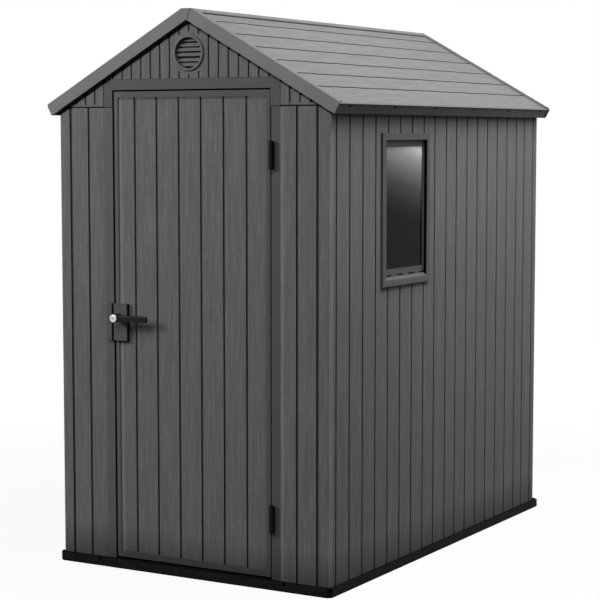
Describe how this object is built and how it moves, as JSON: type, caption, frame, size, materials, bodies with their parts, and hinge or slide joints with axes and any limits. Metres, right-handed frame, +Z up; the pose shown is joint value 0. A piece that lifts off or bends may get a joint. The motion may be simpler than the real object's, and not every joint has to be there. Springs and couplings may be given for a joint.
{
  "type": "garden shed",
  "caption": "Small hollow resin garden shed with a shallow gabled roof, a side-hung front door with a lever latch, a fixed side window and a round vent in each gable.",
  "frame": {"origin": "centre of the base's underside, on the ground", "axes": "+Z up, the front with the door faces -Y, +X to the right of someone looking at the front"},
  "size_m": [1.2394, 1.886, 2.0443],
  "materials": {
    "wall_resin": "moulded wood grain, matt",
    "door_resin": "moulded wood grain, matt",
    "roof_resin": "moulded wood grain, matt",
    "trim_resin": "smooth, satin",
    "window_resin": "smooth, satin",
    "vent_resin": "smooth, satin",
    "base_resin": "fine grained, satin",
    "latch_resin": "smooth, satin",
    "hinge_black": "satin",
    "lever_black": "satin",
    "lock_metal": "bright, brushed",
    "steel": "zinc coated",
    "clear_pane": "clear, smooth"
  },
  "bodies": {
    "shed": {"floor": "base_resin", "front_wall_left": "wall_resin", "front_wall_right": "wall_resin", "front_gable": "wall_resin", "front_vent": "vent_resin", "back_wall_left": "wall_resin", "back_wall_right": "wall_resin", "back_gable": "wall_resin", "back_vent": "vent_resin", "left_wall_front": "wall_resin", "left_wall_rear": "wall_resin", "right_wall_front": "wall_resin", "right_wall_rear": "wall_resin", "window_frame": "window_resin", "window_rail": "window_resin", "window_pane": "clear_pane", "roof_panel_left": "roof_resin", "roof_panel_right": "roof_resin", "ridge_beam": "steel", "ridge_cap": "roof_resin", "ridge_end_front": "trim_resin", "ridge_end_back": "trim_resin", "rake_trim_front_left": "trim_resin", "rake_trim_front_right": "trim_resin", "rake_trim_back_left": "trim_resin", "rake_trim_back_right": "trim_resin", "eave_trim_left": "trim_resin", "eave_trim_right": "trim_resin", "latch_keeper": "latch_resin", "upper_hinge_wall_leaf": "hinge_black", "lower_hinge_wall_leaf": "hinge_black"},
    "door": {"door_leaf": "door_resin", "upper_hinge_door_leaf": "hinge_black", "lower_hinge_door_leaf": "hinge_black", "latch_housing": "latch_resin"},
    "handle": {"handle_lever": "lever_black", "lock_cylinder": "lock_metal", "latch_spindle": "steel", "latch_tongue": "steel"}
  },
  "joints": [
    {"name": "door_swing", "type": "hinge", "parent": "shed", "child": "door", "pos_m": [0.3435, -0.915, 0.9], "axis": [0, 0, 1], "range_deg": [0, 115]},
    {"name": "handle_turn", "type": "hinge", "parent": "door", "child": "handle", "pos_m": [-0.2985, -0.922, 0.935], "axis": [0, -1, 0], "range_deg": [0, 90]}
  ]
}
